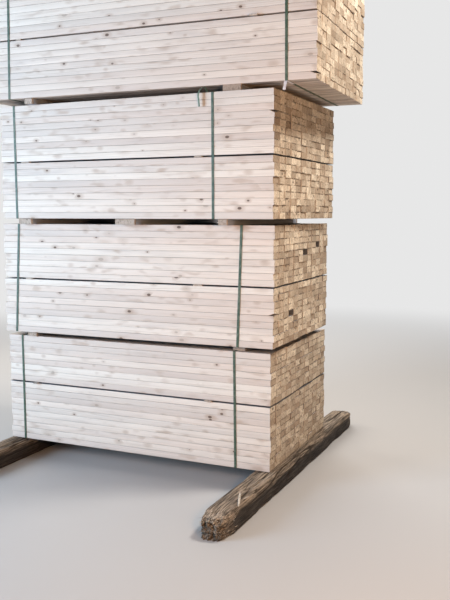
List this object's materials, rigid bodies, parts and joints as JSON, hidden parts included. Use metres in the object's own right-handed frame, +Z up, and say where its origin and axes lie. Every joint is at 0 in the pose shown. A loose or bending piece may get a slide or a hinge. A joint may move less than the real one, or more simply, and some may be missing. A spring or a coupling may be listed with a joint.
{
  "type": "stack of lumber",
  "caption": "Tall stack of planed softwood boards in strapped packages, kept apart by stickers and spacers and standing on two old timbers.",
  "frame": {"origin": "on the ground, under the middle of the whole stack's bounding box", "axes": "+Z up, X along the boards, Y into the depth of the stack; the long face that the picture shows looks towards -Y and the ends it shows look towards +X"},
  "size_m": [2.1832, 2.5326, 3.0135],
  "materials": {
    "planed_softwood": "planed, unfinished pale softwood",
    "sticker_wood": "rough-sawn lath, darkened by use",
    "spacer_wood": "rough-sawn board, a little dirty",
    "strapping": "dark blue-green plastic band",
    "old_timber": "weathered grey-brown timber, split along the grain"
  },
  "bodies": {
    "root": {"bearer_left": "old_timber", "bearer_right": "old_timber", "package_1_lower_tier": "planed_softwood", "package_1_sticker_left": "sticker_wood", "package_1_sticker_right": "sticker_wood", "package_1_strap_left": "strapping", "package_1_strap_right": "strapping", "package_1_upper_tier": "planed_softwood", "package_2_lower_tier": "planed_softwood", "package_2_sticker_left": "sticker_wood", "package_2_sticker_right": "sticker_wood", "package_2_strap_left": "strapping", "package_2_strap_right": "strapping", "package_2_upper_tier": "planed_softwood", "package_3_lower_tier": "planed_softwood", "package_3_sticker_left": "sticker_wood", "package_3_sticker_right": "sticker_wood", "package_3_strap_end": "strapping", "package_3_strap_left": "strapping", "package_3_strap_right": "strapping", "package_3_upper_tier": "planed_softwood", "package_4_lower_tier": "planed_softwood", "package_4_sticker_left": "sticker_wood", "package_4_sticker_right": "sticker_wood", "package_4_strap_end": "strapping", "package_4_strap_left": "strapping", "package_4_strap_right": "strapping", "package_4_upper_tier": "planed_softwood", "spacer_1_2_left": "spacer_wood", "spacer_1_2_right": "spacer_wood", "spacer_2_3_left": "spacer_wood", "spacer_2_3_middle": "spacer_wood", "spacer_2_3_right": "spacer_wood", "spacer_3_4_left": "spacer_wood", "spacer_3_4_right": "spacer_wood"}
  },
  "joints": []
}
